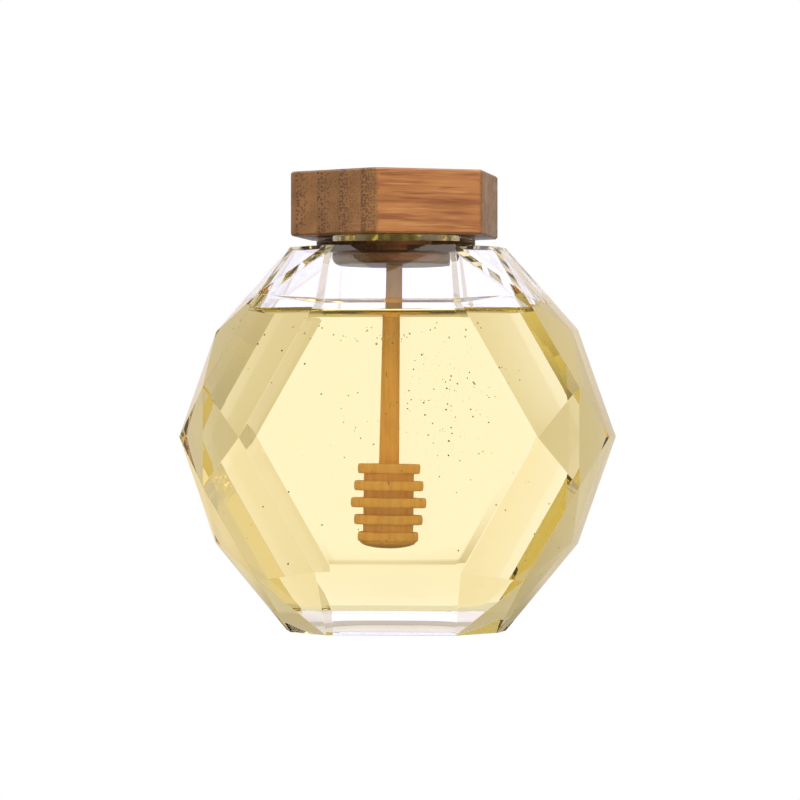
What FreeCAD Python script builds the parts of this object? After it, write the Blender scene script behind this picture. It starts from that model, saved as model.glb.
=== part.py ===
import FreeCAD, Part
import Sketcher
import math
import os

# A gem-cut glass jar of honey with a six-sided bamboo lid and a wooden dipper.
# Frame: X across the front, Y from front to back, Z up. The origin is the centre of the base.

Vector = FreeCAD.Vector

# Driving sizes in millimetres and degrees: alias, value, meaning.
# The jar's corners are measured from the centre of its body: across (X), deep (Y) and up (Z).
SIZES = (
    ("centre_height", 48.5, "centre of the body above the base"),
    ("shoulder_up", 47.0, "flat shoulder above the centre"),
    ("window_deep", 30.3, "flat front and back windows"),
    ("window_tip_across", 36.2, "left and right tips of a window"),
    ("window_corner_across", 17.65, "upper and lower corners of a window"),
    ("window_corner_up", 32.6, "upper and lower corners of a window"),
    ("fold_across", 46.1, "upright fold beside a window tip"),
    ("fold_deep", 21.0, "upright fold beside a window tip"),
    ("fold_up", 12.2, "half length of the upright fold"),
    ("slant_across", 32.5, "outer end of the slanting fold at a window corner"),
    ("slant_up", 35.2, "outer end of the slanting fold at a window corner"),
    ("rim_fold_across", 15.8, "inner end of that fold, on the base or shoulder"),
    ("rim_fold_deep", 21.1, "inner end of that fold, on the base or shoulder"),
    ("girdle_deep", 9.2, "half width of the band round the side"),
    ("girdle_tip_across", 53.4, "tip of the band, level with the centre"),
    ("girdle_corner_across", 44.2, "corner of the band"),
    ("girdle_corner_up", 26.0, "corner of the band"),
    ("girdle_rim_across", 25.6, "end of the band on the base or shoulder"),
    ("girdle_draft", 8.5, "slope of the band towards the mould's parting line"),
    ("front_wall", 4.0, "glass at the windows"),
    ("side_wall", 4.6, "glass at the tips of the band"),
    ("crown_wall", 2.0, "glass above and below, before the floor and roof are cut flat"),
    ("floor_thickness", 7.0, "glass under the honey"),
    ("roof_thickness", 2.5, "glass of the flat shoulder"),
    ("punt_radius", 15.5, "rim of the domed hollow under the base"),
    ("punt_depth", 1.1, "middle of the domed hollow under the base"),
    ("neck_radius", 19.9, "outside of the round neck"),
    ("neck_wall", 3.9, "glass of the neck"),
    ("neck_height", 2.7, "neck above the shoulder"),
    ("neck_round", 0.7, "rounded outer rim of the neck"),
    ("lid_corner_radius", 27.75, "centre of the lid to its six corners"),
    ("lid_height", 15.9, "lid above the neck"),
    ("lid_round", 2.4, "rounded upright edges of the lid"),
    ("lid_edge", 0.45, "eased top and bottom edges of the lid"),
    ("lid_turn", 24.0, "turn of the lid on the jar"),
    ("lid_offset", 0.2, "lid and dipper to the left of the neck's centre"),
    ("plug_length", 7.6, "round plug below the lid"),
    ("plug_clearance", 0.4, "plug inside the neck"),
    ("plug_edge", 2.0, "rounded lower edge of the plug"),
    ("stick_seat", 9.0, "stick inside the lid"),
    ("stick_clearance", 0.25, "stick in its hole"),
    ("stick_top_radius", 2.0, "dipper's stick in the lid"),
    ("stick_foot_radius", 2.5, "dipper's stick at its head"),
    ("dipper_floor_gap", 13.9, "dipper's end above the glass floor"),
    ("dipper_lean", 0.85, "lean of the stick to the left"),
    ("ring_pitch", 4.2, "step from ring to ring on the dipper's head"),
    ("ring_thickness", 2.4, "rings"),
    ("ring_edge", 0.45, "eased edges of the rings"),
    ("dome_height", 1.7, "domed end below the last ring"),
    ("groove_radius", 6.2, "bottom of the grooves"),
    ("ring_radius_a", 7.75, "first ring"),
    ("ring_radius_b", 8.6, "second ring"),
    ("ring_radius_c", 9.35, "third ring"),
    ("ring_radius_d", 8.5, "fourth ring"),
    ("ring_radius_e", 7.5, "last ring"),
    ("honey_below_shoulder", 17.9, "honey's surface below the shoulder"),
    ("honey_clearance", 0.1, "honey round the dipper"),
)

RINGS = ("a", "b", "c", "d", "e")

# Heights that follow from the sheet, as expressions.
SHOULDER = "Sizes.centre_height + Sizes.shoulder_up"
UNDER_LID = SHOULDER + " + Sizes.neck_height"
STICK_TOP = UNDER_LID + " - Sizes.plug_length + Sizes.stick_seat"
PUNT_BALL = "(Sizes.punt_radius ^ 2 + Sizes.punt_depth ^ 2) / (2 * Sizes.punt_depth)"
HEAD_LENGTH = "(4 * Sizes.ring_pitch + Sizes.ring_thickness + Sizes.dome_height)"
STICK_LENGTH = STICK_TOP + " - Sizes.floor_thickness - Sizes.dipper_floor_gap - " + HEAD_LENGTH


def make_sheet(doc):
    """Write the driving sizes into a sheet, one aliased cell each."""
    sheet = doc.addObject("Spreadsheet::Sheet", "Sizes")
    for row, (alias, value, meaning) in enumerate(SIZES, start=1):
        sheet.set("A%d" % row, alias)
        sheet.set("B%d" % row, str(value))
        sheet.setAlias("B%d" % row, alias)
        sheet.set("C%d" % row, meaning)
    doc.recompute()
    return sheet


# ---------------------------------------------------------------- the cut-glass form

def band_line(start, end, offset):
    """One side of the band as a line in the X-Z plane, moved outward by offset."""
    along = Vector(end.x - start.x, 0, end.z - start.z).normalize()
    outward = Vector(abs(along.z), 0, abs(along.x))
    return Vector(start.x, 0, start.z) + outward * offset, along


def level_line(height):
    return Vector(0, 0, height), Vector(1, 0, 0)


def meeting_point(line_a, line_b):
    """Where two lines of the X-Z plane cross."""
    (point_a, along_a), (point_b, along_b) = line_a, line_b
    gap = point_b - point_a
    cross = along_a.x * along_b.z - along_a.z * along_b.x
    reach = (gap.x * along_b.z - gap.z * along_b.x) / cross
    return point_a + along_a * reach


def corners_of_quarter(sheet, crown):
    """Corners with X, Y and Z positive, for a half whose flat end is crown from the centre."""
    corner = {
        "tip": Vector(sheet.window_tip_across, sheet.window_deep, 0),
        "window": Vector(sheet.window_corner_across, sheet.window_deep, sheet.window_corner_up),
        "fold": Vector(sheet.fold_across, sheet.fold_deep, sheet.fold_up),
        "rim_fold": Vector(sheet.rim_fold_across, sheet.rim_fold_deep, crown),
        "band_tip": Vector(sheet.girdle_tip_across, sheet.girdle_deep, 0),
        "band": Vector(sheet.girdle_corner_across, sheet.girdle_deep, sheet.girdle_corner_up),
        "band_rim": Vector(sheet.girdle_rim_across, sheet.girdle_deep, crown),
    }
    # The outer end of the slanting fold lies in the plane of the slope beside the window.
    tip = corner["tip"]
    normal = (corner["window"] - tip).cross(corner["fold"] - tip)
    deep = tip.y - (normal.x * (sheet.slant_across - tip.x) + normal.z * sheet.slant_up) / normal.y
    corner["slant"] = Vector(sheet.slant_across, deep, sheet.slant_up)
    # The band widens by its draft up to the parting line, where Y is zero.
    offset = sheet.girdle_deep * math.tan(math.radians(sheet.girdle_draft))
    side = band_line(corner["band_tip"], corner["band"], offset)
    upper = band_line(corner["band"], corner["band_rim"], offset)
    corner["part_tip"] = meeting_point(side, level_line(0))
    corner["part"] = meeting_point(side, upper)
    corner["part_rim"] = meeting_point(upper, level_line(crown))
    return corner


def mirrored(point, signs):
    return Vector(point.x * signs[0], point.y * signs[1], point.z * signs[2])


def flat_face(points):
    return Part.Face(Part.makePolygon(points + points[:1]))


def cut_glass_form(sheet, scale, centre):
    """The jar's faceted form: two hexagon windows, slopes, folded corners and a side band."""
    halves = {
        1: corners_of_quarter(sheet, sheet.shoulder_up),
        -1: corners_of_quarter(sheet, sheet.centre_height),
    }

    def at(name, x, y, z):
        point = mirrored(halves[z][name], (x, y, z))
        return Vector(point.x * scale.x, point.y * scale.y, point.z * scale.z) + centre

    faces = []
    for y in (-1, 1):
        window = [at("tip", -1, y, 1), at("window", -1, y, 1), at("window", 1, y, 1)]
        window += [at("tip", 1, y, 1), at("window", 1, y, -1), at("window", -1, y, -1)]
        faces.append(flat_face(window))
        for x in (-1, 1):
            upright = [at("fold", x, y, 1), at("fold", x, y, -1)]
            faces.append(flat_face(upright + [at("tip", x, y, 1)]))
            faces.append(flat_face(upright + [at("band_tip", x, y, 1)]))
    for z in (-1, 1):
        for y in (-1, 1):
            slope = [at("window", -1, y, z), at("window", 1, y, z)]
            slope += [at("rim_fold", 1, y, z), at("rim_fold", -1, y, z)]
            faces.append(flat_face(slope))
        end = [at(name, 1, 1, z) for name in ("rim_fold", "band_rim", "part_rim")]
        end += [at(name, 1, -1, z) for name in ("band_rim", "rim_fold")]
        end += [at(name, -1, -1, z) for name in ("rim_fold", "band_rim", "part_rim")]
        end += [at(name, -1, 1, z) for name in ("band_rim", "rim_fold")]
        faces.append(flat_face(end))
    facets = (
        ("tip", "window", "slant", "fold"),
        ("window", "slant", "rim_fold"),
        ("slant", "rim_fold", "band_rim"),
        ("fold", "slant", "band"),
        ("fold", "band", "band_tip"),
        ("slant", "band_rim", "band"),
        ("band_tip", "band", "part", "part_tip"),
        ("band", "band_rim", "part_rim", "part"),
    )
    for names in facets:
        for x in (-1, 1):
            for y in (-1, 1):
                for z in (-1, 1):
                    faces.append(flat_face([at(name, x, y, z) for name in names]))
    shell = Part.makeShell(faces)
    shell.sewShape()
    solid = Part.makeSolid(shell)
    if solid.Volume < 0:
        solid.reverse()
    return solid


def faceted_feature(doc, name, shape):
    feature = doc.addObject("Part::Feature", name)
    feature.Shape = shape
    return feature


def bound(obj, **expressions):
    """Tie properties of an object to the sheet; a double underscore stands for a dot."""
    for prop, expression in expressions.items():
        obj.setExpression(prop.replace("__", "."), expression)
    return obj


def cylinder(doc, name, radius, height, base):
    obj = doc.addObject("Part::Cylinder", name)
    return bound(obj, Radius=radius, Height=height, Placement__Base__z=base)


def slab(doc, name, bottom, top):
    """A level box wider than the jar, between two heights."""
    obj = doc.addObject("Part::Box", name)
    return bound(
        obj,
        Length="4 * Sizes.girdle_tip_across",
        Width="4 * Sizes.window_deep",
        Height="%s - (%s)" % (top, bottom),
        Placement__Base__x="-2 * Sizes.girdle_tip_across",
        Placement__Base__y="-2 * Sizes.window_deep",
        Placement__Base__z=bottom,
    )


def boolean(doc, kind, name, base, tool):
    obj = doc.addObject("Part::" + kind, name)
    obj.Base = base
    obj.Tool = tool
    return obj


# ---------------------------------------------------------------- sketches

def origin_item(body, role):
    return [item for item in body.Origin.OriginFeatures if item.Role == role][0]


def new_body(doc, name):
    body = doc.addObject("PartDesign::Body", name)
    doc.recompute()
    return body


def new_sketch(body, name, plane, offset=None):
    sketch = body.newObject("Sketcher::SketchObject", name)
    sketch.AttachmentSupport = [(origin_item(body, plane), "")]
    sketch.MapMode = "FlatFace"
    if offset:
        sketch.setExpression("AttachmentOffset.Base.z", offset)
    return sketch


def pin(sketch, line, end, axis, expression):
    """Hold one end of a line at a signed distance from the origin along an axis."""
    value = float(sketch.evalExpression(expression))
    kind = "Distance" + axis
    index = sketch.addConstraint(Sketcher.Constraint(kind, -1, 1, line, end, value))
    sketch.setExpression("Constraints[%d]" % index, expression)


def dome_arc(rim, pole):
    """An arc from the pole on the upright axis up to the rim, centred on that axis."""
    rise = rim.y - pole.y
    radius = (rim.x * rim.x + rise * rise) / (2 * rise)
    centre = Vector(0, pole.y + radius, 0)
    circle = Part.Circle(centre, Vector(0, 0, 1), radius)
    rim_angle = math.atan2(rim.y - centre.y, rim.x)
    return Part.ArcOfCircle(circle, -math.pi / 2, rim_angle)


def closed_outline(sketch, points, domed=False):
    """Runs round a list of points given as expressions; a domed outline's last run but one is an arc."""
    places = []
    for across, up in points:
        x = float(sketch.evalExpression(across))
        y = float(sketch.evalExpression(up))
        places.append(Vector(x, y, 0))
    count = len(points)
    arc = count - 2 if domed else None
    # An arc is drawn from its pole, so its ends are the other way round.
    start = [2 if i == arc else 1 for i in range(count)]
    for i in range(count):
        if i == arc:
            sketch.addGeometry(dome_arc(places[i], places[i + 1]))
            sketch.addConstraint(Sketcher.Constraint("PointOnObject", i, 3, -2))
        else:
            sketch.addGeometry(Part.LineSegment(places[i], places[(i + 1) % count]))
    for i in range(count):
        after = (i + 1) % count
        sketch.addConstraint(Sketcher.Constraint("Coincident", i, 3 - start[i], after, start[after]))
    for i, (across, up) in enumerate(points):
        pin(sketch, i, start[i], "X", across)
        pin(sketch, i, start[i], "Y", up)


def circle_sketch(body, name, radius, offset=None):
    sketch = new_sketch(body, name, "XY_Plane", offset)
    value = float(sketch.evalExpression(radius))
    sketch.addGeometry(Part.Circle(Vector(0, 0, 0), Vector(0, 0, 1), value))
    sketch.addConstraint(Sketcher.Constraint("Coincident", 0, 3, -1, 1))
    index = sketch.addConstraint(Sketcher.Constraint("Radius", 0, value))
    sketch.setExpression("Constraints[%d]" % index, radius)
    return sketch


def edge_numbers(feature, test):
    """Numbers of the edges of a feature that pass a test."""
    return [i for i, edge in enumerate(feature.Shape.Edges, start=1) if test(edge)]


def dress_edges(body, kind, name, feature, size, value, test):
    """Round or chamfer the chosen edges of a feature by a size of the sheet."""
    body.Document.recompute()
    dress = body.newObject("PartDesign::" + kind, name)
    dress.Base = (feature, ["Edge%d" % number for number in edge_numbers(feature, test)])
    dress.setExpression(size, value)
    return dress


def is_circle(edge, radius, height):
    """A full circle round the Z axis with a given radius, at a given height."""
    if not isinstance(edge.Curve, Part.Circle):
        return False
    near_radius = abs(edge.Curve.Radius - radius) < 1e-4
    return near_radius and abs(edge.Curve.Center.z - height) < 1e-4


# ---------------------------------------------------------------- the pieces

def make_jar(doc, sheet, cavity):
    """Clear glass: the faceted body and round neck, less the cavity, bore and punt."""
    outside = cut_glass_form(sheet, Vector(1, 1, 1), Vector(0, 0, sheet.centre_height))
    body = faceted_feature(doc, "Jar_outside", outside)
    neck = cylinder(
        doc, "Neck",
        radius="Sizes.neck_radius",
        height="Sizes.roof_thickness + Sizes.neck_height",
        base=SHOULDER + " - Sizes.roof_thickness")
    doc.recompute()
    rounded_neck = doc.addObject("Part::Fillet", "Neck_rounded")
    rounded_neck.Base = neck
    top = sheet.centre_height + sheet.shoulder_up + sheet.neck_height
    rims = edge_numbers(neck, lambda edge: is_circle(edge, sheet.neck_radius, top))
    rounded_neck.Edges = [(number, sheet.neck_round, sheet.neck_round) for number in rims]
    # The bore runs a roof's thickness past the glass at both ends.
    bore = cylinder(
        doc, "Bore",
        radius="Sizes.neck_radius - Sizes.neck_wall",
        height="3 * Sizes.roof_thickness + Sizes.neck_height",
        base=SHOULDER + " - 2 * Sizes.roof_thickness")
    punt = doc.addObject("Part::Sphere", "Punt")
    bound(punt, Radius=PUNT_BALL, Placement__Base__z="Sizes.punt_depth - " + PUNT_BALL)
    whole = boolean(doc, "Fuse", "Glass_whole", body, rounded_neck)
    hollow = boolean(doc, "Cut", "Glass_hollow", whole, cavity)
    bored = boolean(doc, "Cut", "Glass_bored", hollow, bore)
    jar = boolean(doc, "Cut", "Jar", bored, punt)
    jar.Label = "jar"
    return jar


def make_cavity(doc, sheet):
    """The inside of the body: its own form drawn in by the walls, with a flat floor and roof."""
    scale = Vector(
        1 - sheet.side_wall / sheet.girdle_tip_across,
        1 - sheet.front_wall / sheet.window_deep,
        1 - sheet.crown_wall / sheet.shoulder_up,
    )
    form = cut_glass_form(sheet, scale, Vector(0, 0, sheet.centre_height))
    inside = faceted_feature(doc, "Inside_form", form)
    limits = slab(doc, "Floor_and_roof", "Sizes.floor_thickness", SHOULDER + " - Sizes.roof_thickness")
    return boolean(doc, "Common", "Cavity", inside, limits)


def make_lid(doc, sheet):
    """Bamboo: a six-sided block with a round plug below and a blind hole for the stick."""
    body = new_body(doc, "Lid")
    hexagon = new_sketch(body, "Lid_hexagon", "XY_Plane")
    corners = []
    for side in range(6):
        across = "Sizes.lid_corner_radius * cos(%d deg)" % (60 * side)
        up = "Sizes.lid_corner_radius * sin(%d deg)" % (60 * side)
        corners.append((across, up))
    closed_outline(hexagon, corners)
    block = bound(body.newObject("PartDesign::Pad", "Block"), Length="Sizes.lid_height")
    block.Profile = hexagon
    rounded = dress_edges(
        body, "Fillet", "Upright_edges", block, "Radius", "Sizes.lid_round",
        lambda edge: abs(edge.Vertexes[0].Z - edge.Vertexes[-1].Z) > sheet.lid_height / 2)
    eased = dress_edges(
        body, "Chamfer", "Rims", rounded, "Size", "Sizes.lid_edge",
        lambda edge: abs(edge.Vertexes[0].Z - edge.Vertexes[-1].Z) < sheet.lid_height / 2)
    plug_radius = "Sizes.neck_radius - Sizes.neck_wall - Sizes.plug_clearance"
    disc = circle_sketch(body, "Plug_circle", plug_radius)
    plug = bound(body.newObject("PartDesign::Pad", "Plug"), Length="Sizes.plug_length")
    plug.Profile = disc
    plug.Reversed = True
    radius = sheet.neck_radius - sheet.neck_wall - sheet.plug_clearance
    foot = dress_edges(
        body, "Fillet", "Plug_edge", plug, "Radius", "Sizes.plug_edge",
        lambda edge: is_circle(edge, radius, -sheet.plug_length))
    hole_radius = "Sizes.stick_top_radius + Sizes.stick_clearance"
    mouth = circle_sketch(body, "Stick_hole_circle", hole_radius, "-Sizes.plug_length")
    hole = body.newObject("PartDesign::Pocket", "Stick_hole")
    bound(hole, Length="Sizes.stick_seat + Sizes.stick_clearance")
    hole.Profile = mouth
    hole.Reversed = True
    doc.recompute()
    if not eased.Shape.Volume < foot.Shape.Volume > hole.Shape.Volume:
        raise RuntimeError("the plug or the stick's hole is missing")
    body.Tip = hole
    body.Label = "lid"
    body.Placement.Rotation = FreeCAD.Rotation(Vector(0, 0, 1), sheet.lid_turn)
    return bound(body, Placement__Base__x="-Sizes.lid_offset", Placement__Base__z=UNDER_LID)


def dipper_outline(grow):
    """Half outline of the dipper, from the stick's seat in the lid down, grown all round."""
    top_radius = "Sizes.stick_top_radius + " + grow
    points = [("0", grow), (top_radius, grow), (top_radius, "-Sizes.stick_seat")]
    neck = "Sizes.stick_foot_radius + " + grow
    for i, ring in enumerate(RINGS):
        start = "%s + %d * Sizes.ring_pitch" % (STICK_LENGTH, i)
        top = "-(%s - %s)" % (start, grow)
        bottom = "-(%s + Sizes.ring_thickness + %s)" % (start, grow)
        radius = "Sizes.ring_radius_%s + %s" % (ring, grow)
        face_radius = radius + " - Sizes.ring_edge"
        points += [(neck, top), (face_radius, top), (radius, top + " - Sizes.ring_edge")]
        points += [(radius, bottom + " + Sizes.ring_edge"), (face_radius, bottom)]
        neck = "Sizes.groove_radius + " + grow
        if ring != RINGS[-1]:
            points.append((neck, bottom))
    points.append(("0", "-(%s + %s + %s)" % (STICK_LENGTH, HEAD_LENGTH, grow)))
    return points


def make_dipper(doc, sheet, name, grow):
    """Turned wood: a tapered stick and a head of five rings with a domed end."""
    body = new_body(doc, name)
    profile = new_sketch(body, name + "_outline", "XZ_Plane")
    closed_outline(profile, dipper_outline(grow), domed=True)
    turned = body.newObject("PartDesign::Revolution", name + "_turned")
    turned.Profile = profile
    turned.ReferenceAxis = (profile, ["V_Axis"])
    turned.Angle = 360
    body.Placement.Rotation = FreeCAD.Rotation(Vector(0, 1, 0), sheet.dipper_lean)
    return bound(body, Placement__Base__x="-Sizes.lid_offset", Placement__Base__z=STICK_TOP)


def make_honey(doc, cavity, dipper_space):
    """Honey fills the cavity up to its level, cut round the dipper."""
    level = slab(doc, "Below_level", "0", SHOULDER + " - Sizes.honey_below_shoulder")
    filling = boolean(doc, "Common", "Filling", cavity, level)
    honey = boolean(doc, "Cut", "Honey", filling, dipper_space)
    honey.Label = "honey"
    return honey


def check(doc, pieces):
    """Stop at any failed object, and at a piece whose shape is empty or not valid."""
    for obj in doc.Objects:
        if "Invalid" in obj.State or "Error" in obj.State:
            raise RuntimeError("failed: " + obj.Name)
    for piece in pieces:
        shape = piece.Shape
        if shape.isNull() or not shape.isValid() or len(shape.Solids) != 1:
            raise RuntimeError("not one valid solid: " + piece.Label)


def main():
    doc = FreeCAD.newDocument("HoneyJar")
    sheet = make_sheet(doc)
    cavity = make_cavity(doc, sheet)
    jar = make_jar(doc, sheet, cavity)
    lid = make_lid(doc, sheet)
    dipper = make_dipper(doc, sheet, "Dipper", "0")
    dipper.Label = "dipper"
    dipper_space = make_dipper(doc, sheet, "Dipper_space", "Sizes.honey_clearance")
    honey = make_honey(doc, cavity, dipper_space)
    doc.recompute()
    pieces = (jar, honey, lid, dipper)
    check(doc, pieces)
    os.makedirs("parts", exist_ok=True)
    for piece in pieces:
        piece.Shape.exportStep("parts/%s.step" % piece.Label)
        print(piece.Label, round(piece.Shape.Volume / 1000, 2), "cm3")


main()
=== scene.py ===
import math
import random

import bmesh
import bpy
from mathutils import Matrix, Vector, geometry, noise
from mathutils.bvhtree import BVHTree


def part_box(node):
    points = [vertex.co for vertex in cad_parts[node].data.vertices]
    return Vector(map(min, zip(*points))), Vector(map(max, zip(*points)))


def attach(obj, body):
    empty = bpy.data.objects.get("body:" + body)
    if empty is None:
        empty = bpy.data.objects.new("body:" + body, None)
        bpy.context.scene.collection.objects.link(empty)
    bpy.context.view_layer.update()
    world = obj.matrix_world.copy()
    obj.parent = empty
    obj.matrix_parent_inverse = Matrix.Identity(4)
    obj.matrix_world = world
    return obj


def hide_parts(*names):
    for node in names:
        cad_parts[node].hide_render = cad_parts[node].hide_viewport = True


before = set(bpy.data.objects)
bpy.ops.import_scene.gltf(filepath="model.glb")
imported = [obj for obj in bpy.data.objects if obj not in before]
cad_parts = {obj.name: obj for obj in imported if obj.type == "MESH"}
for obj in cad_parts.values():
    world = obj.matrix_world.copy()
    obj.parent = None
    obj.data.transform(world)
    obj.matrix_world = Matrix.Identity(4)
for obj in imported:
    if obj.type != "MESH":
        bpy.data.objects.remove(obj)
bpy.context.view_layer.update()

# Everything is in metres. MM turns a millimetre into a metre.
MM = 0.001

# Optics: refractive indices of the glass and of the honey.
GLASS_IOR = 1.52
HONEY_IOR = 1.485

# Eased edges of the glass: crisp outside, where the mould presses them, and soft inside.
OUTER_ROUND = 0.5 * MM
BASE_ROUND = 1.2 * MM
INNER_ROUND = 2.2 * MM
TIP_ROUND = 0.8 * MM
FLOOR_ROUND = 6.0 * MM
ROUND_STEPS = 6
FACET_ANGLE = math.radians(3.0)
# The turned parts, which keep their CAD form, lie within this reach of the axis.
TURNED_REACH = 21 * MM
# Corners of the cavity further out than this are the tips of its side bands.
TIP_ACROSS = 42 * MM
# The top of the windows' inner faces is raised, about level with the outer ones, and drawn in.
WINDOW_TOP_UP = 1.5 * MM
WINDOW_TOP_IN = 0.965
# The glass floor is domed by this much in the middle, and by nothing at these reaches.
FLOOR_DOME = 1.1 * MM
FLOOR_DOME_ACROSS = 24 * MM
FLOOR_DOME_DEEP = 19 * MM
FLOOR_GRID = 1.5 * MM

# The honey climbs the glass and the stick by this much, and reaches this far into the wall.
MENISCUS = 2.1 * MM
MENISCUS_REACH = 1.8 * MM
STICK_MENISCUS = 0.8 * MM
INTO_WALL = 0.1 * MM

# The bamboo block: turned this far, glued up from strips, bedded a hair into the neck's rim.
LID_TURN = math.radians(24.0)
LID_BED = 0.04 * MM
STRIP = 6.1 * MM
FIRST_SEAM = 1.55 * MM

# The dipper: a leaning, tapered stick and five turned rings with grooves between them.
LEAN = math.radians(0.85)
STICK_TOP_RADIUS = 2.0 * MM
STICK_FOOT_RADIUS = 2.5 * MM
STICK_SEAT = 9.0 * MM
RING_RADII = (7.75 * MM, 8.6 * MM, 9.35 * MM, 8.5 * MM, 7.5 * MM)
RING_PITCH = 4.2 * MM
RING_THICKNESS = 2.4 * MM
RING_EDGE = 0.6 * MM
GROOVE_RADIUS = 6.2 * MM
DOME_HEIGHT = 1.7 * MM

# Specks keep this far from the walls, and from the dipper's axis: up to the top of its head,
# and round its stick.
WALL_CLEAR = 1.0 * MM
HEAD_CLEAR = 12 * MM
HEAD_TOP = 44 * MM
STICK_CLEAR = 4.5 * MM

# The camera stands level with the middle of the jar, a little to its right.
CAMERA_DISTANCE = 0.901
CAMERA_HEIGHT = 0.0556
CAMERA_AZIMUTH = math.radians(3.66)
CAMERA_ASIDE = 1.0 * MM
CAMERA_PITCH = math.radians(0.127)
CAMERA_LENS = 162.2

# Soft light round the jar. Each card: bearing to the right of straight behind and height
# over the horizon in degrees, full inside the first angle and gone at the second, colour.
# Room and cards started from a fit of traced rays to the photograph's colours, and were then
# changed.
ROOM = (0.64, 0.57, 0.48, 1)
CARDS = (
    (-5.5, 12, 11, 29, (1.03, 0.96, 0.95, 1)),
    (-5.0, 3.5, 8, 14, (1.13, 1.12, 1.36, 1)),
    (4.0, 78, 22, 60, (1.4, 1.45, 1.75, 1)),
    (53.5, 16, 3, 31, (1.2, 1.02, 0.68, 1)),
    (-88.0, 0, 20, 50, (0.82, 0.78, 0.78, 1)),
)
# In front of the jar: dim where the glass mirrors it, full where it lights the wood.
FRONT_CARD = (180, 10, 60, 110)
FRONT = (0.72, 0.65, 0.5, 1)
FRONT_LIGHT = (1.5, 1.4, 1.16, 1)
# Each place of the floor glows as the room does in its direction from this height in the jar.
GLOW_HEIGHT = 45 * MM
# Under the jar the floor keeps this share of its glow: a painted shadow, which thins out
# between these multiples of the jar's half width and half depth.
SHADOW = 0.12
SHADOW_FROM = 0.55
SHADOW_TO = 2.1

jar_low, jar_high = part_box("jar")
honey_low, honey_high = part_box("honey")
lid_low, lid_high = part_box("lid")
dipper_low, dipper_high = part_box("dipper")
LEVEL = honey_high.z
FLOOR = honey_low.z
WETTED_TO = LEVEL + MENISCUS
STICK_TOP = Vector(((lid_low.x + lid_high.x) / 2, 0, dipper_high.z))
# The dipper's stick and head, measured down from the stick's top.
HEAD_LENGTH = 4 * RING_PITCH + RING_THICKNESS + DOME_HEIGHT
STICK_LENGTH = STICK_TOP.z - dipper_low.z - HEAD_LENGTH


# ---------------------------------------------------------------- nodes

def new_material(name):
    """A material with a cleared tree and its output node."""
    material = bpy.data.materials.new(name)
    material.use_nodes = True
    tree = material.node_tree
    tree.nodes.clear()
    return material, tree, tree.nodes.new("ShaderNodeOutputMaterial")


def add(tree, kind, **settings):
    """A node, with its properties and its named sockets set."""
    node = tree.nodes.new("ShaderNode" + kind)
    for key, value in settings.items():
        if key.startswith("in_"):
            node.inputs[key[3:].replace("_", " ")].default_value = value
        else:
            setattr(node, key, value)
    return node


def feed(tree, socket, value):
    """Link a socket to another one, or set its value."""
    if isinstance(value, bpy.types.NodeSocket):
        tree.links.new(value, socket)
    else:
        socket.default_value = value


def maths(tree, operation, first, second=None):
    node = add(tree, "Math", operation=operation)
    feed(tree, node.inputs[0], first)
    if second is not None:
        feed(tree, node.inputs[1], second)
    return node.outputs[0]


def ranged(tree, value, low, high, to_low=0.0, to_high=1.0, smooth=True):
    """A value mapped from one range to another."""
    node = add(tree, "MapRange", interpolation_type="SMOOTHSTEP" if smooth else "LINEAR")
    for name, number in (("From Min", low), ("From Max", high),
                         ("To Min", to_low), ("To Max", to_high)):
        node.inputs[name].default_value = number
    feed(tree, node.inputs["Value"], value)
    return node.outputs[0]


def blended(tree, factor, first, second, blend="MIX"):
    """Two colours mixed by a factor; each is a socket or a colour."""
    node = add(tree, "Mix", data_type="RGBA", blend_type=blend)
    for name, value in (("Factor", factor), ("A", first), ("B", second)):
        feed(tree, [s for s in node.inputs if s.name == name and s.enabled][0], value)
    return [s for s in node.outputs if s.enabled][0]


def grey(tree, value):
    """A value as a grey colour."""
    node = add(tree, "CombineColor")
    for socket in node.inputs:
        tree.links.new(value, socket)
    return node.outputs[0]


def turned_place(tree, turn, scale):
    """Object coordinates turned about Z and scaled."""
    place = add(tree, "TexCoord")
    mapping = add(tree, "Mapping", vector_type="TEXTURE")
    mapping.inputs["Rotation"].default_value = (0, 0, turn)
    mapping.inputs["Scale"].default_value = tuple(1 / factor for factor in scale)
    tree.links.new(place.outputs["Object"], mapping.inputs["Vector"])
    return mapping.outputs[0]


def noisy(tree, vector, scale, detail=3.0, roughness=0.5):
    node = add(tree, "TexNoise")
    node.inputs["Scale"].default_value = scale
    node.inputs["Detail"].default_value = detail
    node.inputs["Roughness"].default_value = roughness
    tree.links.new(vector, node.inputs["Vector"])
    return node.outputs[0]


def bumped(tree, shader, height, strength, distance):
    node = add(tree, "Bump")
    node.inputs["Strength"].default_value = strength
    node.inputs["Distance"].default_value = distance
    tree.links.new(height, node.inputs["Height"])
    tree.links.new(node.outputs[0], shader.inputs["Normal"])


# ---------------------------------------------------------------- meshes

def piece_from_mesh(name, mesh, materials, slot_name, *nodes):
    """A piece that rides on the body, in place of the CAD nodes named last, if any."""
    piece = bpy.data.objects.new(name, mesh)
    bpy.context.scene.collection.objects.link(piece)
    for material in materials:
        mesh.materials.append(material)
    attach(piece, "root")
    if nodes:
        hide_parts(*nodes)
    return piece


def merged_copy(node):
    """A CAD node's mesh with its flat faces made whole again."""
    solid = bmesh.new()
    solid.from_mesh(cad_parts[node].data)
    bmesh.ops.remove_doubles(solid, verts=solid.verts, dist=1e-6)
    bmesh.ops.dissolve_limit(
        solid, angle_limit=math.radians(0.3), verts=solid.verts, edges=solid.edges,
        delimit=set())
    return solid


def finished(solid, name):
    mesh = bpy.data.meshes.new(name)
    solid.to_mesh(mesh)
    solid.free()
    return mesh


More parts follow.
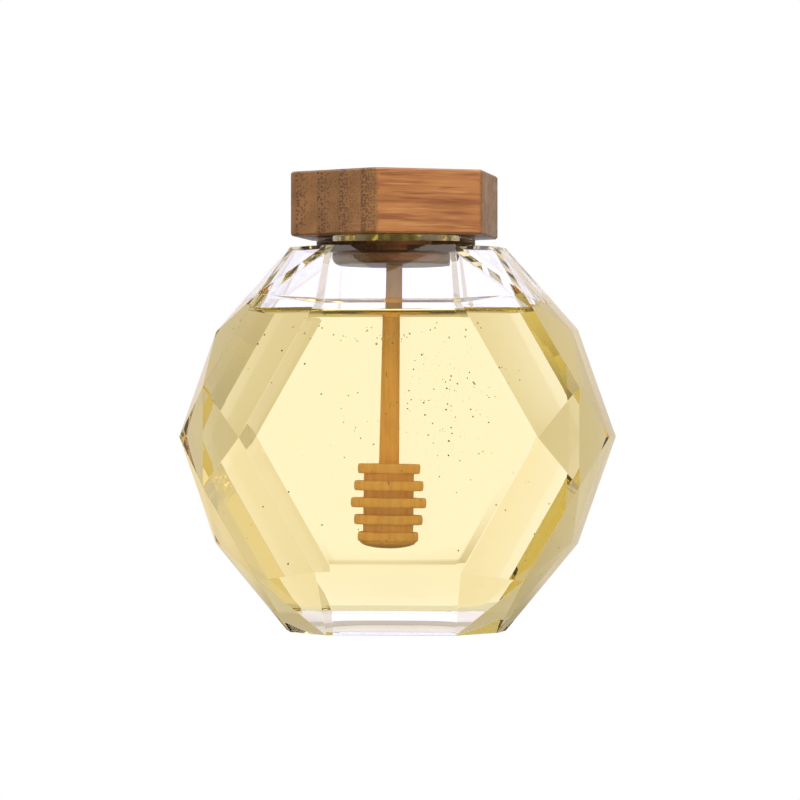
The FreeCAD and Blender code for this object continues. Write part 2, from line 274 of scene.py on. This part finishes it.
def baked(piece):
    """The piece's mesh with its modifiers applied."""
    bpy.context.view_layer.update()
    graph = bpy.context.evaluated_depsgraph_get()
    mesh = bpy.data.meshes.new_from_object(piece.evaluated_get(graph), depsgraph=graph)
    piece.modifiers.clear()
    piece.data = mesh
    return mesh


def modified(mesh, kind, **settings):
    """The mesh with one modifier applied."""
    holder = bpy.data.objects.new("holder", mesh)
    bpy.context.scene.collection.objects.link(holder)
    modifier = holder.modifiers.new(kind, kind)
    for key, value in settings.items():
        setattr(modifier, key, value)
    result = baked(holder)
    bpy.data.objects.remove(holder)
    return result


def rounded(mesh, width, segments):
    """The mesh with its weighted edges rounded."""
    return modified(
        mesh, "BEVEL", limit_method="WEIGHT", width=width, segments=segments,
        use_clamp_overlap=True, miter_outer="MITER_SHARP")


def flat_shaded(mesh):
    """The mesh with normals that keep its large flat faces flat."""
    return modified(mesh, "WEIGHTED_NORMAL", keep_sharp=True, weight=100)


# ---------------------------------------------------------------- glass and honey

def is_inner(face):
    """A face of the jar's cavity looks at the middle of the body from above the glass floor."""
    middle = Vector((0, 0, (FLOOR + jar_high.z) / 2))
    point = face.calc_center_median()
    towards = (middle - point).dot(face.normal) > 0
    return towards and point.z > FLOOR - 0.5 * MM


def is_turned(edge):
    """Edges of the neck, its bore and the punt, which keep their CAD form."""
    near = all(math.hypot(v.co.x, v.co.y) < TURNED_REACH for v in edge.verts)
    top = max(v.co.z for v in edge.verts)
    return near and (top > jar_high.z / 2 or top < FLOOR / 2)


def edge_round(edge):
    """How far an edge of the glass is eased."""
    inside = [is_inner(face) for face in edge.link_faces]
    if all(inside):
        if min(v.co.z for v in edge.verts) < FLOOR + 0.1 * MM:
            at_floor = all(v.co.z < FLOOR + 0.1 * MM for v in edge.verts)
            return FLOOR_ROUND if at_floor else INNER_ROUND
        at_tip = all(abs(v.co.x) > TIP_ACROSS for v in edge.verts)
        return TIP_ROUND if at_tip else INNER_ROUND
    if any(inside):
        return 0
    return BASE_ROUND if max(v.co.z for v in edge.verts) < 0.1 * MM else OUTER_ROUND


def flat_floor(solid):
    """The faces of the glass floor, before it is domed."""
    return [
        face for face in solid.faces
        if face.normal.z > 0.99 and all(abs(v.co.z - FLOOR) < 0.01 * MM for v in face.verts)]


def cut(solid, faces, place, normal):
    """Cut some faces by a plane."""
    verts = list({v for face in faces for v in face.verts})
    edges = list({e for face in faces for e in face.edges})
    bmesh.ops.bisect_plane(
        solid, geom=faces + edges + verts, plane_co=place, plane_no=normal)


def domed_floor(mesh):
    """The mesh with its glass floor cut into a grid and raised in the middle."""
    solid = bmesh.new()
    solid.from_mesh(mesh)
    for axis, reach in enumerate((FLOOR_DOME_ACROSS, FLOOR_DOME_DEEP)):
        steps = int(reach / FLOOR_GRID)
        for step in range(-steps, steps + 1):
            place, normal = [0, 0, 0], [0, 0, 0]
            place[axis], normal[axis] = step * FLOOR_GRID, 1
            cut(solid, flat_floor(solid), place, normal)
    for vert in {v for face in flat_floor(solid) for v in face.verts}:
        across = max(1 - (vert.co.x / FLOOR_DOME_ACROSS) ** 4, 0)
        vert.co.z += FLOOR_DOME * across * max(1 - (vert.co.y / FLOOR_DOME_DEEP) ** 2, 0)
    solid.to_mesh(mesh)
    solid.free()
    return mesh


def make_jar(glass, wetted):
    """The glass: windows raised inside, edges eased, floor domed, wetted faces marked."""
    solid = merged_copy("jar")
    for vert in solid.verts:
        in_window = abs(abs(vert.co.y) - honey_high.y) < 0.05 * MM
        if in_window and vert.co.z > LEVEL:
            vert.co.z += WINDOW_TOP_UP
            vert.co.x *= WINDOW_TOP_IN
    inner = [face for face in solid.faces if is_inner(face)]
    cut(solid, inner, (0, 0, WETTED_TO), (0, 0, 1))
    for face in solid.faces:
        wet = is_inner(face) and face.calc_center_median().z < WETTED_TO
        face.material_index = 1 if wet else 0
        face.smooth = True
    weight = solid.edges.layers.float.new("bevel_weight_edge")
    for edge in solid.edges:
        if len(edge.link_faces) != 2 or edge.calc_face_angle(0) < FACET_ANGLE:
            continue
        if not is_turned(edge):
            edge[weight] = edge_round(edge) / FLOOR_ROUND
    mesh = finished(solid, "jar_glass")
    mesh.materials.append(glass)
    mesh.materials.append(wetted)
    mesh = domed_floor(rounded(mesh, FLOOR_ROUND, ROUND_STEPS))
    return piece_from_mesh("jar_glass", flat_shaded(mesh), (), "glass", "jar")


def wet_loop(shell):
    """The points of the shell's open rim, in order."""
    rim = [edge for edge in shell.edges if edge.is_boundary]
    start = rim[0].verts[0]
    loop, here, last = [start], start, None
    while True:
        onward = [e for e in here.link_edges if e.is_boundary and e is not last]
        last = onward[0]
        here = last.other_vert(here)
        if here is start:
            return loop
        loop.append(here)


def edge_distance(point, outline):
    """How far a point of the surface is from the glass."""
    best = 1.0
    for i, corner in enumerate(outline):
        other = outline[(i + 1) % len(outline)]
        near, share = geometry.intersect_point_line(point, corner, other)
        share = min(max(share, 0), 1)
        best = min(best, (corner.lerp(other, share) - point).length)
    return best


def stick_radius(depth):
    """The stick's radius below its top: straight in the lid, then wider towards the head."""
    share = max(0.0, (depth - STICK_SEAT) / (STICK_LENGTH - STICK_SEAT))
    return STICK_TOP_RADIUS + share * (STICK_FOOT_RADIUS - STICK_TOP_RADIUS)


def stick_at_level():
    """Middle and radius of the stick where it leaves the honey."""
    down = STICK_TOP.z - LEVEL
    return Vector((STICK_TOP.x - down * math.tan(LEAN), 0)), stick_radius(down)


def surface_height(point, outline, stick):
    """The honey's surface: flat, with a meniscus at the glass and at the stick."""
    rise = MENISCUS * math.exp(-edge_distance(point, outline) / MENISCUS_REACH)
    from_stick = max((point - stick[0]).length - stick[1], 0)
    return LEVEL + rise + STICK_MENISCUS * math.exp(-from_stick / MENISCUS_REACH)


def inside_outline(point, outline):
    for i, corner in enumerate(outline):
        along = outline[(i + 1) % len(outline)] - corner
        if along.cross(point - corner) < 0.15 * MM * along.length:
            return False
    return True


def surface_points(outline, stick):
    """Points over the surface, closer together near the glass and the stick."""
    step = 2.5 * MM
    points = []
    for i in range(-20, 21):
        for j in range(-14, 15):
            points.append(Vector((i * step, j * step)))
    for depth in (0.25, 0.55, 0.9, 1.4, 2.1, 3.2, 4.8):
        for i, corner in enumerate(outline):
            other = outline[(i + 1) % len(outline)]
            along = other - corner
            inward = Vector((-along.y, along.x)).normalized()
            count = max(1, int(along.length / (1.2 * MM)))
            for k in range(count):
                points.append(corner + along * ((k + 0.5) / count) + inward * depth * MM)
    for ring in (0.0, 0.3, 0.7, 1.2, 2.0, 3.2):
        for k in range(32):
            turn = math.radians(360 / 32 * k)
            reach = stick[1] + ring * MM
            points.append(stick[0] + Vector((math.cos(turn), math.sin(turn))) * reach)
    return [point for point in points if inside_outline(point, outline)]


def make_honey(jar, body):
    """Honey from the wetted glass, a little into the wall, closed by its curved surface."""
    shell = bmesh.new()
    shell.from_mesh(jar.data)
    dry = [face for face in shell.faces if face.material_index != 1]
    bmesh.ops.delete(shell, geom=dry, context="FACES")
    bmesh.ops.reverse_faces(shell, faces=shell.faces)
    shell.normal_update()
    moves = [(v, v.normal.copy()) for v in shell.verts]
    for vertex, normal in moves:
        vertex.co += normal * INTO_WALL
    rim = wet_loop(shell)
    for vertex in rim:
        vertex.co.z = WETTED_TO
    outline = [vertex.co.to_2d() for vertex in rim]
    if sum(a.cross(b) for a, b in zip(outline, outline[1:] + outline[:1])) < 0:
        rim.reverse()
        outline.reverse()
    stick = stick_at_level()
    count = len(outline)
    result = geometry.delaunay_2d_cdt(
        outline + surface_points(outline, stick), [], [list(range(count))], 1, 1e-7)
    places, faces, origins = result[0], result[2], result[3]
    verts = []
    for place, origin in zip(places, origins):
        own = [i for i in origin if i < count]
        if own:
            verts.append(rim[own[0]])
        else:
            height = surface_height(place, outline, stick)
            verts.append(shell.verts.new((place.x, place.y, height)))
    # The sides lie in the wall and don't bend light: the glass against them does.
    step = shell.faces.layers.float.new("optical_step")
    for face in shell.faces:
        face.smooth = False
        face[step] = 1.0
    for face in faces:
        made = shell.faces.new([verts[i] for i in face])
        made.smooth = True
        made[step] = HONEY_IOR
    for face in shell.faces:
        face.material_index = 0
    bmesh.ops.recalc_face_normals(shell, faces=shell.faces)
    mesh = finished(shell, "honey_body")
    return piece_from_mesh("honey_body", mesh, (body,), "honey", "honey")


def glass_material(name, ior):
    """Clear pressed glass, never quite flat."""
    material, tree, out = new_material(name)
    shader = add(tree, "BsdfPrincipled", in_Roughness=0.0, in_IOR=ior)
    shader.inputs["Transmission Weight"].default_value = 1.0
    shader.inputs["Base Color"].default_value = (1, 1, 1, 1)
    ripple = noisy(tree, turned_place(tree, 0, (1, 1, 1)), 60.0, 2.0)
    bumped(tree, shader, ripple, 0.05, 0.2 * MM)
    tree.links.new(shader.outputs[0], out.inputs["Surface"])
    return material


def honey_material(name):
    """Pale clear honey, seen by what its depth takes from the light."""
    material, tree, out = new_material(name)
    shader = add(tree, "BsdfPrincipled", in_Roughness=0.0, in_IOR=HONEY_IOR)
    shader.inputs["Transmission Weight"].default_value = 1.0
    shader.inputs["Base Color"].default_value = (1, 1, 1, 1)
    step = add(tree, "Attribute", attribute_name="optical_step")
    tree.links.new(step.outputs["Fac"], shader.inputs["IOR"])
    tint = add(tree, "VolumeAbsorption", in_Density=17.0)
    tint.inputs["Color"].default_value = (0.943, 0.813, 0.037, 1)
    tree.links.new(shader.outputs[0], out.inputs["Surface"])
    tree.links.new(tint.outputs[0], out.inputs["Volume"])
    return material


def honey_walls():
    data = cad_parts["honey"].data
    return BVHTree.FromPolygons(
        [v.co for v in data.vertices], [tuple(p.vertices) for p in data.polygons])


def inside_honey(point, walls):
    """Is a point well inside the honey and clear of the dipper?"""
    near, normal, _, distance = walls.find_nearest(point)
    if (point - near).dot(normal) > 0 or distance < WALL_CLEAR:
        return False
    reach = math.hypot(point.x - STICK_TOP.x, point.y)
    return reach > (HEAD_CLEAR if point.z < HEAD_TOP else STICK_CLEAR)


def scattered(seed, count, low, high):
    """Random points in the honey, between two corners, more of them in the middle."""
    chance = random.Random(seed)
    walls = honey_walls()
    points = []
    while len(points) < count:
        point = Vector([chance.triangular(a, b) for a, b in zip(low, high)])
        if inside_honey(point, walls):
            points.append((point, chance.random()))
    return points


def make_specks(name, points, sizes, uneven, material, hollow=False):
    """Many small grains as one piece; hollow ones are bubbles, seen from the honey's side."""
    solid = bmesh.new()
    for number, (point, share) in enumerate(points):
        size = (sizes[0] + (sizes[1] - sizes[0]) * share ** 3) * MM
        made = bmesh.ops.create_icosphere(solid, subdivisions=2, radius=size)["verts"]
        for vertex in made:
            bump = noise.noise(vertex.co / size * 1.3 + Vector((number, 0, 0)))
            vertex.co = vertex.co * (1 + uneven * bump) + point
    for face in solid.faces:
        face.smooth = True
    if hollow:
        bmesh.ops.reverse_faces(solid, faces=solid.faces)
    return piece_from_mesh(name, finished(solid, name), (material,), None)


def bubble_material():
    """Air in honey: light bends at the honey's own index."""
    material, tree, out = new_material("air_bubble")
    shader = add(tree, "BsdfPrincipled", in_Roughness=0.0, in_IOR=HONEY_IOR)
    shader.inputs["Transmission Weight"].default_value = 1.0
    film = noisy(tree, turned_place(tree, 0, (1, 1, 1)), 4000.0, 1.0)
    tint = blended(tree, film, (1.0, 0.98, 0.92, 1), (0.94, 0.9, 0.78, 1))
    tree.links.new(tint, shader.inputs["Base Color"])
    tree.links.new(shader.outputs[0], out.inputs["Surface"])
    return material


def pollen_material():
    """Grains of wax and pollen, from olive to brown."""
    material, tree, out = new_material("pollen")
    shader = add(tree, "BsdfPrincipled", in_Roughness=0.6)
    patch = noisy(tree, turned_place(tree, 0, (1, 1, 1)), 500.0, 2.0)
    colour = blended(
        tree, ranged(tree, patch, 0.35, 0.65), (0.5, 0.4, 0.14, 1), (0.17, 0.1, 0.03, 1))
    tree.links.new(colour, shader.inputs["Base Color"])
    tree.links.new(shader.outputs[0], out.inputs["Surface"])
    return material


# ---------------------------------------------------------------- lid

def strip_phase(tree, across):
    """How far through its strip a point is, from 0 at the dark skin to 1, and the strip's tone."""
    strips = maths(tree, "DIVIDE", maths(tree, "ADD", across, FIRST_SEAM), -STRIP)
    tone = add(tree, "TexWhiteNoise", noise_dimensions="1D")
    tree.links.new(maths(tree, "FLOOR", strips), tone.inputs["W"])
    return maths(tree, "FRACT", strips), tone.outputs["Value"]


def fibre_ends(tree, place, phase):
    """Cut fibre bundles: big and dark by the skin of each strip, fine and pale further in."""
    squeezed = add(tree, "VectorMath", operation="MULTIPLY")
    squeezed.inputs[1].default_value = (0.03, 1.0, 1.0)
    tree.links.new(place, squeezed.inputs[0])
    cells = add(tree, "TexVoronoi", feature="F1")
    cells.inputs["Scale"].default_value = 1400.0
    cells.inputs["Randomness"].default_value = 0.7
    tree.links.new(squeezed.outputs[0], cells.inputs["Vector"])
    size = ranged(tree, phase, 0.0, 0.7, 0.62, 0.48)
    dots = ranged(tree, maths(tree, "DIVIDE", cells.outputs["Distance"], size), 0.5, 1.1, 1.0, 0.0)
    return maths(tree, "MULTIPLY", dots, ranged(tree, phase, 0.0, 0.85, 0.85, 0.35))


def bamboo_material():
    """Laminated bamboo: strips side by side, their fibres cut across at the ends."""
    material, tree, out = new_material("laminated_bamboo")
    shader = add(tree, "BsdfPrincipled")
    place = turned_place(tree, LID_TURN, (1, 1, 1))
    split = add(tree, "SeparateXYZ")
    tree.links.new(place, split.inputs[0])
    phase, tone = strip_phase(tree, split.outputs["Y"])
    dots = fibre_ends(tree, place, phase)

    # Where a face runs along the grain, the fibres show as streaks.
    broad = noisy(tree, turned_place(tree, LID_TURN, (0.07, 1.0, 1.0)), 420.0, 4.0, 0.65)
    fine = noisy(tree, turned_place(tree, LID_TURN, (0.05, 1.0, 1.0)), 1300.0, 2.0, 0.6)
    normal = add(tree, "NewGeometry")
    facing = add(tree, "VectorMath", operation="DOT_PRODUCT")
    facing.inputs[1].default_value = (math.cos(LID_TURN), math.sin(LID_TURN), 0)
    tree.links.new(normal.outputs["Normal"], facing.inputs[0])
    across_grain = maths(tree, "ABSOLUTE", facing.outputs["Value"])
    end_grain = ranged(tree, across_grain, 0.2, 0.6)

    patches = noisy(tree, place, 160.0, 3.0)
    ends = blended(
        tree, ranged(tree, patches, 0.3, 0.7), (0.225, 0.1, 0.03, 1), (0.17, 0.072, 0.02, 1))
    ends = blended(tree, dots, ends, (0.06, 0.02, 0.005, 1))
    sides = blended(
        tree, ranged(tree, broad, 0.35, 0.7), (0.36, 0.145, 0.045, 1), (0.225, 0.068, 0.017, 1))
    dark_lines = maths(tree, "MULTIPLY", ranged(tree, fine, 0.54, 0.68), 0.65)
    sides = blended(tree, dark_lines, sides, (0.15, 0.04, 0.009, 1))
    pale_lines = maths(tree, "MULTIPLY", ranged(tree, fine, 0.45, 0.3), 0.5)
    sides = blended(tree, pale_lines, sides, (0.47, 0.24, 0.09, 1))
    colour = blended(tree, end_grain, sides, ends)
    from_seam = maths(tree, "ABSOLUTE", maths(tree, "SUBTRACT", phase, 0.5))
    seam = maths(tree, "MULTIPLY", ranged(tree, from_seam, 0.47, 0.5), 0.4)
    colour = blended(tree, seam, colour, (0.1, 0.045, 0.016, 1))
    change = ranged(tree, tone, 0, 1, 0.86, 1.08, smooth=False)
    colour = blended(tree, 1.0, colour, grey(tree, change), "MULTIPLY")
    # The underside is painted dark: painted shade on the downward faces.
    upward = add(tree, "SeparateXYZ")
    tree.links.new(normal.outputs["Normal"], upward.inputs[0])
    underside_shade = ranged(tree, upward.outputs["Z"], -0.9, -0.5, 0.75, 0.0)
    colour = blended(tree, underside_shade, colour, (0.05, 0.014, 0.003, 1))
    tree.links.new(colour, shader.inputs["Base Color"])
    tree.links.new(ranged(tree, broad, 0.3, 0.7, 0.36, 0.5), shader.inputs["Roughness"])
    height = maths(tree, "SUBTRACT", fine, maths(tree, "MULTIPLY", dots, 0.8))
    bumped(tree, shader, height, 0.3, 0.12 * MM)
    tree.links.new(shader.outputs[0], out.inputs["Surface"])
    return material


def make_lid(bamboo):
    """The lid, smooth where it is round, bedded a hair into the neck's rim."""
    solid = merged_copy("lid")
    bmesh.ops.triangulate(solid, faces=[f for f in solid.faces if len(f.verts) > 4])
    for face in solid.faces:
        face.smooth = True
    for edge in solid.edges:
        if len(edge.link_faces) == 2 and edge.calc_face_angle(0) > math.radians(35):
            edge.smooth = False
    bmesh.ops.translate(solid, verts=solid.verts, vec=(0, 0, -LID_BED))
    mesh = flat_shaded(finished(solid, "bamboo_lid"))
    return piece_from_mesh("bamboo_lid", mesh, (bamboo,), "bamboo", "lid")


# ---------------------------------------------------------------- dipper

def dipper_profile():
    """Radius and depth below the stick's top, with how rough each point was turned."""
    points = [(0.0, 0.0, 0.0), (STICK_TOP_RADIUS, 0.0, 0.0)]
    steps = 90
    for i in range(steps + 1):
        depth = STICK_LENGTH * i / steps
        points.append((stick_radius(depth), depth, 0.25))
    for i, radius in enumerate(RING_RADII):
        top = STICK_LENGTH + i * RING_PITCH
        inner = STICK_FOOT_RADIUS if i == 0 else GROOVE_RADIUS
        for k in range(1, 9):
            share = k / 9
            # Ring tops slope a little away from the middle.
            fall = 0.22 * MM * share ** 3
            points.append((inner + (radius - RING_EDGE - inner) * share, top + fall, 0.3))
        for k in range(15):
            turn = math.pi * k / 14
            side = math.cos(turn)
            bulge = math.sin(turn) ** 0.45
            depth = top + RING_THICKNESS * (1 - side) / 2
            rough = 0.5 if side > 0 else 1.0
            points.append((radius - RING_EDGE + RING_EDGE * bulge, depth, rough))
        bottom = top + RING_THICKNESS
        if i < len(RING_RADII) - 1:
            for k in range(1, 6):
                share = k / 6
                points.append((radius + (GROOVE_RADIUS - radius) * share, bottom, 0.8))
            for k in range(5):
                points.append((GROOVE_RADIUS, bottom + (RING_PITCH - RING_THICKNESS) * k / 4, 0.6))
    dome_top = STICK_LENGTH + 4 * RING_PITCH + RING_THICKNESS
    reach = RING_RADII[-1] - RING_EDGE
    for k in range(1, 17):
        turn = math.pi / 2 * k / 16
        points.append((reach * math.cos(turn), dome_top + DOME_HEIGHT * math.sin(turn), 0.6))
    return points


def make_dipper(wood):
    """Turned wood: the profile spun round a leaning axis, its edges a little torn."""
    around = 128
    solid = bmesh.new()
    lean = Matrix.Rotation(LEAN, 3, "Y")
    rows = []
    for radius, depth, rough in dipper_profile():
        if radius < 1e-7:
            rows.append([solid.verts.new((0, 0, -depth))])
            continue
        row = []
        for k in range(around):
            turn = 2 * math.pi * k / around
            place = Vector((math.cos(turn) * radius, math.sin(turn) * radius, -depth))
            torn = noise.noise(place * 900) + 0.7 * noise.noise(place * 2600)
            place.xy *= 1 + rough * 0.07 * MM * torn / radius
            place.z += rough * 0.09 * MM * noise.noise(place * 1500 + Vector((3, 5, 7)))
            row.append(solid.verts.new(place))
        rows.append(row)
    for upper, lower in zip(rows, rows[1:]):
        for k in range(around):
            a, b = k % len(upper), (k + 1) % len(upper)
            c, d = (k + 1) % len(lower), k % len(lower)
            corners = [upper[a], upper[b], lower[c], lower[d]]
            corners = [v for i, v in enumerate(corners) if v not in corners[:i]]
            if len(corners) > 2:
                solid.faces.new(corners).smooth = True
    bmesh.ops.recalc_face_normals(solid, faces=solid.faces)
    for edge in solid.edges:
        if len(edge.link_faces) == 2 and edge.calc_face_angle(0) > math.radians(50):
            edge.smooth = False
    for vertex in solid.verts:
        vertex.co = lean @ vertex.co + STICK_TOP
    mesh = finished(solid, "wood_dipper")
    return piece_from_mesh("wood_dipper", mesh, (wood,), "dipper_wood", "dipper")


def turned_wood_material():
    """Pale turned wood with the grain along the stick, and darker pores."""
    material, tree, out = new_material("turned_wood")
    shader = add(tree, "BsdfPrincipled")
    grain = noisy(tree, turned_place(tree, 0.3, (1.0, 1.0, 0.06)), 800.0, 4.0, 0.6)
    patches = noisy(tree, turned_place(tree, 0, (1.0, 1.0, 0.4)), 170.0, 3.0, 0.55)
    fleck = noisy(tree, turned_place(tree, 0, (1.0, 1.0, 0.5)), 1100.0, 2.0, 0.5)
    colour = blended(
        tree, ranged(tree, grain, 0.35, 0.7), (0.82, 0.45, 0.105, 1), (0.74, 0.38, 0.08, 1))
    stain = maths(tree, "MULTIPLY", ranged(tree, patches, 0.5, 0.75), 0.3)
    colour = blended(tree, stain, colour, (0.48, 0.2, 0.05, 1))
    dots = maths(tree, "MULTIPLY", ranged(tree, fleck, 0.68, 0.75), 0.7)
    colour = blended(tree, dots, colour, (0.25, 0.11, 0.035, 1))
    # Above the honey the wood is dry and duller; its darker colour there is painted shade under
    # the lid.
    place = add(tree, "TexCoord")
    height = add(tree, "SeparateXYZ")
    tree.links.new(place.outputs["Object"], height.inputs[0])
    dry = ranged(tree, height.outputs["Z"], LEVEL, LEVEL + 3 * MM, 0.0, 0.85)
    colour = blended(tree, dry, colour, (0.4, 0.19, 0.06, 1))
    tree.links.new(colour, shader.inputs["Base Color"])
    tree.links.new(ranged(tree, grain, 0.3, 0.7, 0.45, 0.65), shader.inputs["Roughness"])
    bumped(tree, shader, grain, 0.35, 0.12 * MM)
    tree.links.new(shader.outputs[0], out.inputs["Surface"])
    return material


# ---------------------------------------------------------------- stage

def make_camera():
    data = bpy.data.cameras.new("camera")
    camera = bpy.data.objects.new("camera", data)
    bpy.context.scene.collection.objects.link(camera)
    data.lens = CAMERA_LENS
    data.sensor_width = 36.0
    data.clip_end = 20.0
    away = Vector((math.sin(CAMERA_AZIMUTH), -math.cos(CAMERA_AZIMUTH), 0))
    right = Vector((math.cos(CAMERA_AZIMUTH), math.sin(CAMERA_AZIMUTH), 0))
    camera.location = away * CAMERA_DISTANCE + right * CAMERA_ASIDE
    camera.location.z = CAMERA_HEIGHT
    camera.rotation_mode = "QUATERNION"
    ahead = -away + Vector((0, 0, math.tan(CAMERA_PITCH)))
    camera.rotation_quaternion = ahead.to_track_quat("-Z", "Y")
    bpy.context.scene.camera = camera


def studio_glow(tree, direction, shadow=(1, 1, 1, 1)):
    """The room's light by direction, with its cards, dimmed by a painted shadow."""
    unit = add(tree, "VectorMath", operation="NORMALIZE")
    tree.links.new(direction, unit.inputs[0])
    path = add(tree, "LightPath")
    lit = maths(tree, "GREATER_THAN", path.outputs["Diffuse Depth"], 0.5)
    front = blended(tree, lit, FRONT, FRONT_LIGHT)
    colour = ROOM
    for bearing, height, full, gone, shade in CARDS + (FRONT_CARD + (front,),):
        turn, rise = math.radians(bearing), math.radians(height)
        level = math.cos(rise)
        facing = add(tree, "VectorMath", operation="DOT_PRODUCT")
        facing.inputs[1].default_value = (
            math.sin(turn) * level, math.cos(turn) * level, math.sin(rise))
        tree.links.new(unit.outputs[0], facing.inputs[0])
        aside = maths(tree, "ARCCOSINE", facing.outputs["Value"])
        share = ranged(tree, aside, math.radians(full), math.radians(gone), 1.0, 0.0)
        colour = blended(tree, share, colour, shade)
    colour = blended(tree, 1.0, colour, shadow, "MULTIPLY")
    # The stage itself is plain white; the cards only light the jar.
    return blended(tree, path.outputs["Is Camera Ray"], colour, (1.0, 1.0, 1.0, 1))


def make_world():
    world = bpy.data.worlds.new("studio")
    bpy.context.scene.world = world
    world.use_nodes = True
    tree = world.node_tree
    tree.nodes.clear()
    out = tree.nodes.new("ShaderNodeOutputWorld")
    sky = tree.nodes.new("ShaderNodeBackground")
    place = tree.nodes.new("ShaderNodeTexCoord")
    tree.links.new(studio_glow(tree, place.outputs["Generated"]), sky.inputs["Color"])
    tree.links.new(sky.outputs[0], out.inputs["Surface"])


def make_floor():
    shape = bmesh.new()
    bmesh.ops.create_circle(shape, cap_ends=True, segments=96, radius=6.0)
    mesh = finished(shape, "floor")
    floor = bpy.data.objects.new("floor", mesh)
    floor.location.z = -0.05 * MM
    bpy.context.scene.collection.objects.link(floor)
    # Plain white to the camera; to everything else the floor glows with painted light, dimmed by a
    # painted shadow under the jar.
    white, tree, out = new_material("floor_white_painted_shadow")
    place = tree.nodes.new("ShaderNodeTexCoord")
    below = add(tree, "VectorMath", operation="SUBTRACT")
    below.inputs[1].default_value = (0, 0, GLOW_HEIGHT)
    tree.links.new(place.outputs["Object"], below.inputs[0])
    spread = add(tree, "VectorMath", operation="DIVIDE")
    spread.inputs[1].default_value = (jar_high.x, jar_high.y, 1.0)
    tree.links.new(place.outputs["Object"], spread.inputs[0])
    away = add(tree, "VectorMath", operation="LENGTH")
    tree.links.new(spread.outputs[0], away.inputs[0])
    shadow = ranged(tree, away.outputs["Value"], SHADOW_FROM, SHADOW_TO, SHADOW, 1.0)
    light = add(tree, "Emission", in_Strength=1.0)
    glow = studio_glow(tree, below.outputs[0], grey(tree, shadow))
    tree.links.new(glow, light.inputs["Color"])
    tree.links.new(light.outputs[0], out.inputs["Surface"])
    mesh.materials.append(white)


def soft_light(name, place, aim, size, power):
    data = bpy.data.lights.new(name, "AREA")
    data.shape = "RECTANGLE"
    data.size, data.size_y = size
    data.energy = power
    light = bpy.data.objects.new(name, data)
    light.location = place
    light.rotation_mode = "QUATERNION"
    light.rotation_quaternion = (Vector(aim) - Vector(place)).to_track_quat("-Z", "Y")
    bpy.context.scene.collection.objects.link(light)


make_camera()
make_world()
make_floor()
soft_light("overhead", (0, 0.1, 1.2), (0, 0, 0.05), (1.2, 1.2), 8)

glass = glass_material("clear_glass", GLASS_IOR)
wetted = glass_material("glass_against_honey", GLASS_IOR / HONEY_IOR)
jar = make_jar(glass, wetted)
make_honey(jar, honey_material("honey"))
right_half = scattered(11, 130, (-2 * MM, -20 * MM, 38 * MM), (26 * MM, 20 * MM, 77 * MM))
all_over = scattered(12, 110, (-38 * MM, -22 * MM, 9 * MM), (38 * MM, 22 * MM, 77 * MM))
make_specks("pollen_grains", right_half + all_over, (0.06, 0.24), 0.5, pollen_material())
near_top = scattered(13, 34, (-24 * MM, -24 * MM, 71 * MM), (26 * MM, 0, 77 * MM))
make_specks("air_bubbles", near_top, (0.12, 0.34), 0.0, bubble_material(), hollow=True)
make_lid(bamboo_material())
make_dipper(turned_wood_material())

scene = bpy.context.scene
scene.view_settings.view_transform = "Standard"
scene.cycles.max_bounces = 32
scene.cycles.transmission_bounces = 32
scene.cycles.glossy_bounces = 16
scene.cycles.transparent_max_bounces = 16
